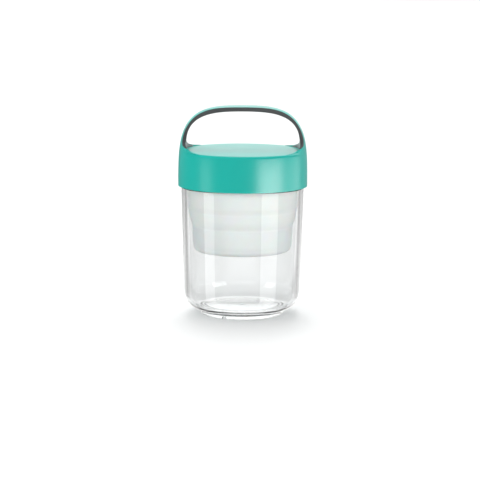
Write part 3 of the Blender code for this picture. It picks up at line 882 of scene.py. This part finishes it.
def make_lining():
    """The dark lining of the handle, which ends just above the plate."""
    stations = [station for station in strap_stations() if station_rise(station) >= LINING_FOOT]
    return swept("dark_lining", lining_points, stations)


def principled(name, colour, roughness, **sockets):
    """A Principled material with its constant values on the shader's own sockets."""
    made = bpy.data.materials.new(name)
    made.use_nodes = True
    shader = made.node_tree.nodes["Principled BSDF"]
    shader.inputs["Base Color"].default_value = (*colour, 1)
    shader.inputs["Roughness"].default_value = roughness
    for key, value in sockets.items():
        shader.inputs[key.replace("_", " ")].default_value = value
    return made, shader


def noise(made, scale, detail):
    """A cloudy number that varies with the place on the object."""
    nodes = made.node_tree.nodes
    place = nodes.new("ShaderNodeTexCoord")
    cloud = nodes.new("ShaderNodeTexNoise")
    cloud.inputs["Scale"].default_value = scale
    cloud.inputs["Detail"].default_value = detail
    made.node_tree.links.new(place.outputs["Object"], cloud.inputs["Vector"])
    return cloud.outputs["Fac"]


def add_grain(made, shader, scale, depth, roughness_low, roughness_high):
    """Fine moulded grain: a bump and a roughness that vary with the place on the object."""
    nodes = made.node_tree.nodes
    links = made.node_tree.links
    bump = nodes.new("ShaderNodeBump")
    bump.inputs["Strength"].default_value = 1
    bump.inputs["Distance"].default_value = depth
    links.new(noise(made, scale, GRAIN_DETAIL), bump.inputs["Height"])
    links.new(bump.outputs["Normal"], shader.inputs["Normal"])
    spread = nodes.new("ShaderNodeMapRange")
    spread.inputs["To Min"].default_value = roughness_low
    spread.inputs["To Max"].default_value = roughness_high
    links.new(noise(made, scale / WEAR_RATIO, WEAR_DETAIL), spread.inputs["Value"])
    links.new(spread.outputs["Result"], shader.inputs["Roughness"])


def level_step(made, low, high, bottom, top):
    """A number that goes from bottom to top as the height on the object goes from low to high."""
    nodes = made.node_tree.nodes
    links = made.node_tree.links
    place = nodes.new("ShaderNodeTexCoord")
    split = nodes.new("ShaderNodeSeparateXYZ")
    links.new(place.outputs["Object"], split.inputs[0])
    step = nodes.new("ShaderNodeMapRange")
    for key, amount in (("From Min", low), ("From Max", high), ("To Min", bottom), ("To Max", top)):
        step.inputs[key].default_value = amount
    links.new(split.outputs["Z"], step.inputs["Value"])
    return step.outputs["Result"]


def colour_by(made, shader, share, first, second):
    """Makes the colour go from the first to the second as a share goes from 0 to 1."""
    ramp = made.node_tree.nodes.new("ShaderNodeValToRGB")
    ramp.color_ramp.elements[0].color = (*first, 1)
    ramp.color_ramp.elements[1].color = (*second, 1)
    made.node_tree.links.new(share, ramp.inputs["Fac"])
    made.node_tree.links.new(ramp.outputs["Color"], shader.inputs["Base Color"])


def tint(made, shader, first, second, scale):
    """A slight change of colour over the surface, as in moulded plastic."""
    colour_by(made, shader, noise(made, scale, TINT_DETAIL), first, second)


def tint_and_shade_by_level(made, shader, first, second, scale, low, high):
    """Painted shade: a change of colour between two levels, with a slight random change over the surface
    too.
    """
    blend = made.node_tree.nodes.new("ShaderNodeMix")
    blend.inputs["Factor"].default_value = MILKY_SHADE_SHARE
    made.node_tree.links.new(noise(made, scale, TINT_DETAIL), blend.inputs["A"])
    made.node_tree.links.new(level_step(made, low, high, 0, 1), blend.inputs["B"])
    colour_by(made, shader, blend.outputs["Result"], first, second)


def frost_base(made, shader):
    """The underside's fine texture, which blurs what is seen through the jar's floor."""
    links = made.node_tree.links
    low = RECESS_DEPTH + FROST_MARGIN
    total = made.node_tree.nodes.new("ShaderNodeMath")
    links.new(shader.inputs["Roughness"].links[0].from_socket, total.inputs[0])
    links.new(level_step(made, low, low + FROST_MARGIN, BASE_FROST, 0), total.inputs[1])
    links.new(total.outputs[0], shader.inputs["Roughness"])


def mark_gate(made, shader):
    """The cloudy spot at the middle of the underside, where the plastic entered the mould."""
    nodes = made.node_tree.nodes
    links = made.node_tree.links
    place = nodes.new("ShaderNodeTexCoord")
    distance = nodes.new("ShaderNodeVectorMath")
    distance.operation = "LENGTH"
    links.new(place.outputs["Object"], distance.inputs[0])
    share = nodes.new("ShaderNodeMapRange")
    share.inputs["From Min"].default_value = GATE_REACH
    share.inputs["From Max"].default_value = GATE_REACH + GATE_DROP
    links.new(distance.outputs["Value"], share.inputs["Value"])
    colour_by(made, shader, share.outputs["Result"], GATE_COLOUR, CLEAR_COLOUR)


def clear_plastic():
    """Polished clear copolyester."""
    made, shader = principled(
        "clear_plastic_look", CLEAR_COLOUR, 0.0, Transmission_Weight=1.0, IOR=CLEAR_IOR,
    )
    add_grain(made, shader, *CLEAR_GRAIN)
    frost_base(made, shader)
    mark_gate(made, shader)
    return made


def milky_plastic():
    """Translucent polypropylene, with painted shade: a little darker where the cup narrows below its step.
    """
    made, shader = principled(
        "milky_plastic_look",
        MILKY_COLOUR,
        MILKY_ROUGHNESS,
        Subsurface_Weight=MILKY_SCATTER_SHARE,
        Subsurface_Scale=MILKY_SCATTER,
        IOR=POLYPROPYLENE_IOR,
    )
    add_grain(made, shader, *MILKY_GRAIN)
    step = CUP_SEAT_HEIGHT - CUP_STEP_SHARE * CUP_DEPTH
    # Painted shade: the cup's colour darkens below its step
    tint_and_shade_by_level(made, shader, *MILKY_TINT_AND_SHADE, step - MILKY_SHADE_FADE, step + MILKY_SHADE_FADE)
    return made


def turquoise_plastic():
    """Satin turquoise polypropylene."""
    made, shader = principled(
        "turquoise_plastic_look", TURQUOISE_COLOUR, TURQUOISE_ROUGHNESS, IOR=POLYPROPYLENE_IOR,
    )
    add_grain(made, shader, *TURQUOISE_GRAIN)
    tint(made, shader, *TURQUOISE_TINT)
    return made


def dark_elastomer():
    """Matt dark grey rubber."""
    made, shader = principled(
        "dark_elastomer_look",
        ELASTOMER_COLOUR,
        ELASTOMER_ROUGHNESS,
        IOR=ELASTOMER_IOR,
        Sheen_Weight=ELASTOMER_SHEEN,
        Sheen_Roughness=ELASTOMER_SHEEN_ROUGHNESS,
    )
    add_grain(made, shader, *ELASTOMER_GRAIN)
    tint(made, shader, *ELASTOMER_TINT)
    return made


def white_silicone():
    """Soft white silicone."""
    made, shader = principled(
        "silicone_look",
        SILICONE_COLOUR,
        SILICONE_ROUGHNESS,
        Subsurface_Weight=SILICONE_SCATTER_SHARE,
        Subsurface_Scale=SILICONE_SCATTER,
    )
    add_grain(made, shader, *SILICONE_GRAIN)
    tint(made, shader, *SILICONE_TINT)
    return made


def dress(piece, look, body, node):
    """Gives a piece its finish and ties it to the CAD node that it stands for."""
    piece.data.materials.clear()
    piece.data.materials.append(look)
    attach(piece, body)
    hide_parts(node)


def add_camera():
    """The camera at the photograph's angle."""
    data = bpy.data.cameras.new("photo_camera")
    data.lens = CAMERA_LENS
    data.sensor_width = SENSOR_WIDTH
    camera = bpy.data.objects.new("photo_camera", data)
    camera.location = (CAMERA_SIDE, -CAMERA_DISTANCE, CAMERA_HEIGHT)
    camera.rotation_euler = (CAMERA_PITCH, 0, 0)
    camera.rotation_euler.rotate_axis("Z", CAMERA_ROLL)
    bpy.context.scene.collection.objects.link(camera)
    bpy.context.scene.camera = camera


def add_softbox(name, azimuth, width, strength, receivers, top=PANEL_TOP, colour=WHITE, through=True):
    """A soft panel lamp for the highlights. Azimuth 0 is the camera's side, and it grows toward +X."""
    target = Vector((0, 0, SHOULDER_HEIGHT + top - PANEL_TOP))
    turn = math.radians(azimuth)
    direction = Vector((math.sin(turn), -math.cos(turn), 0))
    data = bpy.data.lights.new(name, "AREA")
    data.shape = "RECTANGLE"
    data.size = 2 * PANEL_DISTANCE * math.tan(math.radians(width / 2))
    data.size_y = PANEL_HEIGHT
    data.energy = strength * math.pi * data.size * data.size_y
    data.color = colour
    lamp = bpy.data.objects.new(name, data)
    lamp.location = target + direction * PANEL_DISTANCE
    lamp.rotation_euler = (-direction).to_track_quat("-Z", "Y").to_euler()
    lamp.visible_camera = False
    lamp.visible_diffuse = False
    lamp.visible_transmission = through
    lamp.light_linking.receiver_collection = receivers
    bpy.context.scene.collection.objects.link(lamp)


def gathered(name, pieces):
    """A collection that a lamp can be limited to."""
    group = bpy.data.collections.new(name)
    for piece in pieces:
        group.objects.link(piece)
    return group


class Wiring:
    """Short forms for the number nodes of the studio's world and floor."""

    def __init__(self, tree):
        self.nodes = tree.nodes
        self.links = tree.links
        self.nodes.clear()
        self.path = self.nodes.new("ShaderNodeLightPath")

    def feed(self, socket, value):
        """Sets a socket, or links it where the value comes from another node."""
        if isinstance(value, bpy.types.NodeSocket):
            self.links.new(value, socket)
        else:
            socket.default_value = value

    def math(self, operation, first, second=0.0):
        """The result of a calculation on two numbers."""
        node = self.nodes.new("ShaderNodeMath")
        node.operation = operation
        self.feed(node.inputs[0], first)
        self.feed(node.inputs[1], second)
        return node.outputs[0]

    def product(self, *values):
        """The product of several numbers."""
        total = values[0]
        for value in values[1:]:
            total = self.math("MULTIPLY", total, value)
        return total

    def ramp(self, value, step):
        """A smooth step over a number, from bottom to top as it goes from low to high."""
        node = self.nodes.new("ShaderNodeMapRange")
        node.interpolation_type = "SMOOTHSTEP"
        self.feed(node.inputs["Value"], value)
        for key, amount in zip(("From Min", "From Max", "To Min", "To Max"), step):
            node.inputs[key].default_value = amount
        return node.outputs["Result"]

    def choose(self, share, first, second):
        """The first number where the share is 0 and the second where it is 1."""
        node = self.nodes.new("ShaderNodeMix")
        self.feed(node.inputs["Factor"], share)
        self.feed(node.inputs["A"], first)
        self.feed(node.inputs["B"], second)
        return node.outputs["Result"]

    def is_mirrored(self):
        """1 for what a surface reflects, 0 for what is seen through a clear wall."""
        path = self.path.outputs
        return self.product(path["Is Glossy Ray"], self.math("SUBTRACT", 1.0, path["Is Transmission Ray"]))

    def is_lit(self):
        """1 for light on its way to a matt surface, 0 for what is seen directly."""
        return self.math("MINIMUM", self.path.outputs["Diffuse Depth"], 1.0)

    def is_clear_sight(self):
        """1 for what is seen through the clear wall, 0 for everything else."""
        direct = self.math("SUBTRACT", 1.0, self.is_lit())
        return self.product(self.path.outputs["Is Transmission Ray"], direct)

    def parts(self, socket):
        """The three parts of a vector."""
        node = self.nodes.new("ShaderNodeSeparateXYZ")
        self.links.new(socket, node.inputs[0])
        return node.outputs


def mirrored_level(wiring, along, behind, up, ahead):
    """Strength of the world where a surface mirrors it: brighter behind and to the right."""
    right = wiring.product(wiring.ramp(along, MIRRORED_RIGHT_STEP), wiring.ramp(behind, MIRRORED_BACK_STEP))
    panel = wiring.product(
        wiring.ramp(up, HORIZON_START_STEP),
        wiring.ramp(up, HORIZON_END_STEP),
        wiring.ramp(behind, HORIZON_BACK_STEP),
    )
    return wiring.math("MAXIMUM", wiring.math("ADD", right, panel), wiring.ramp(ahead, MIRRORED_AHEAD_STEP))


def sky_level(wiring, along, behind, up):
    """Strength of the world as it lights matt surfaces: a soft sky, and a narrow lamp behind."""
    sky = wiring.product(wiring.ramp(up, SKY_UP_STEP), wiring.ramp(along, SKY_ALONG_STEP))
    backlight = wiring.product(
        wiring.ramp(behind, BACKLIGHT_STEP),
        wiring.ramp(up, BACKLIGHT_UP_STEP),
        wiring.ramp(wiring.math("ABSOLUTE", along), BACKLIGHT_NARROW_STEP),
    )
    return wiring.math("ADD", sky, backlight)


def world_level(wiring, place, across):
    """Strength of the world for each kind of ray. The camera itself sees it plain white."""
    along, behind, up = wiring.parts(place.outputs["Generated"])
    ahead = wiring.parts(place.outputs["Camera"])[2]
    sky = sky_level(wiring, along, behind, up)
    through = wiring.ramp(ahead, THROUGH_STEP)
    lit = wiring.choose(wiring.path.outputs["Is Transmission Ray"], sky, through)
    level = wiring.choose(wiring.is_clear_sight(), lit, wiring.ramp(across, SEEN_STEP))
    level = wiring.choose(wiring.is_mirrored(), level, mirrored_level(wiring, along, behind, up, ahead))
    return wiring.choose(wiring.path.outputs["Is Camera Ray"], level, WHITE_LEVEL)


def world_colour(wiring, across):
    """White, with less red in what comes through the clear wall from the sides."""
    through_wall = wiring.product(wiring.path.outputs["Is Transmission Ray"], wiring.is_lit())
    colour = wiring.nodes.new("ShaderNodeCombineColor")
    wiring.feed(colour.inputs["Red"], wiring.choose(through_wall, 1.0, wiring.ramp(across, RED_STEP)))
    wiring.feed(colour.inputs["Green"], 1)
    wiring.feed(colour.inputs["Blue"], 1)
    return colour.outputs["Color"]


def add_world():
    """White behind the object, with a studio of dark and bright sides for its reflections."""
    world = bpy.data.worlds.new("studio")
    world.use_nodes = True
    world.cycles.sampling_method = "NONE"
    bpy.context.scene.world = world
    wiring = Wiring(world.node_tree)
    place = wiring.nodes.new("ShaderNodeTexCoord")
    across = wiring.math("ABSOLUTE", wiring.parts(place.outputs["Camera"])[0])
    glow = wiring.nodes.new("ShaderNodeBackground")
    wiring.feed(glow.inputs["Strength"], world_level(wiring, place, across))
    wiring.feed(glow.inputs["Color"], world_colour(wiring, across))
    output = wiring.nodes.new("ShaderNodeOutputWorld")
    wiring.feed(output.inputs["Surface"], glow.outputs["Background"])


def floor_glow(wiring, away):
    """Strength of the floor's own light, which differs where it is seen through the clear wall."""
    under = wiring.math("ADD", wiring.ramp(away, UNDER_JAR_STEP), wiring.ramp(away, BEYOND_JAR_STEP))
    plain = wiring.choose(wiring.path.outputs["Is Transmission Ray"], FLOOR_GLOW, 0.0)
    return wiring.choose(wiring.is_clear_sight(), plain, under)


def floor_dimness(wiring, across, away):
    """Share of the floor that turns dim through the clear wall: the sides and a band round the foot."""
    share = wiring.math("DIVIDE", across, wiring.math("MAXIMUM", away, NEAR_FLOOR))
    near = wiring.product(wiring.ramp(away, DIM_START_STEP), wiring.ramp(away, DIM_END_STEP))
    aside = wiring.math("MAXIMUM", wiring.ramp(share, DIM_ASIDE_STEP), near)
    return wiring.product(aside, wiring.is_clear_sight())


def floor_look():
    """The floor's finish: matt, with a little light of its own."""
    made = bpy.data.materials.new("studio_floor_look")
    made.use_nodes = True
    wiring = Wiring(made.node_tree)
    place = wiring.nodes.new("ShaderNodeTexCoord")
    across = wiring.math("ABSOLUTE", wiring.parts(place.outputs["Camera"])[0])
    distance = wiring.nodes.new("ShaderNodeVectorMath")
    distance.operation = "LENGTH"
    wiring.feed(distance.inputs[0], place.outputs["Object"])
    away = distance.outputs["Value"]
    matt = wiring.nodes.new("ShaderNodeBsdfDiffuse")
    matt.inputs["Color"].default_value = (*FLOOR_COLOUR, 1)
    glow = wiring.nodes.new("ShaderNodeEmission")
    wiring.feed(glow.inputs["Strength"], floor_glow(wiring, away))
    add = wiring.nodes.new("ShaderNodeAddShader")
    wiring.feed(add.inputs[0], matt.outputs["BSDF"])
    wiring.feed(add.inputs[1], glow.outputs["Emission"])
    dim = wiring.nodes.new("ShaderNodeEmission")
    wiring.feed(dim.inputs["Strength"], FLOOR_DIM_GLOW)
    mix = wiring.nodes.new("ShaderNodeMixShader")
    wiring.feed(mix.inputs["Fac"], floor_dimness(wiring, across, away))
    wiring.feed(mix.inputs[1], add.outputs["Shader"])
    wiring.feed(mix.inputs[2], dim.outputs["Emission"])
    output = wiring.nodes.new("ShaderNodeOutputMaterial")
    wiring.feed(output.inputs["Surface"], mix.outputs["Shader"])
    return made


def add_floor():
    """A wide pale floor that keeps the jar's shadow and melts into the white background."""
    mesh = bmesh.new()
    bmesh.ops.create_circle(mesh, cap_ends=True, radius=FLOOR_RADIUS, segments=FLOOR_STEPS)
    data = bpy.data.meshes.new("studio_floor")
    mesh.to_mesh(data)
    mesh.free()
    data.materials.append(floor_look())
    floor = bpy.data.objects.new("studio_floor", data)
    floor.visible_glossy = False
    floor.visible_shadow = False
    floor.location.z = -FLOOR_DROP
    bpy.context.scene.collection.objects.link(floor)


def add_lamps(matt_pieces, clear_pieces):
    """Soft panels for the highlights: one set for the lid, one for the jar and the cup."""
    add_softbox(*KEY_PANEL, matt_pieces, LID_PANEL_TOP, KEY_COLOUR)
    for panel in LID_PANELS:
        add_softbox(*panel, matt_pieces, LID_PANEL_TOP)
    for panel in JAR_PANELS:
        add_softbox(*panel, clear_pieces)
    for panel in JAR_BACK_PANELS:
        add_softbox(*panel, clear_pieces, through=False)


def build():
    """The dressed jar in its studio."""
    bpy.context.scene.view_settings.view_transform = "Standard"
    bpy.context.scene.cycles.blur_glossy = 0
    jar = make_jar()
    cup = turned("milky_cup", cup_outline())
    seal = make_seal()
    lid = make_lid()
    lining = make_lining()
    dress(jar, clear_plastic(), "jar", "jar_body")
    dress(cup, milky_plastic(), "cup", "insert_cup")
    dress(seal, white_silicone(), "seal", "lid_seal")
    dress(lid, turquoise_plastic(), "lid", "lid_shell")
    dress(lining, dark_elastomer(), "lid", "handle_lining")
    add_camera()
    add_world()
    add_floor()
    add_lamps(gathered("matt_pieces", [lid, lining]), gathered("clear_pieces", [jar, cup]))


build()
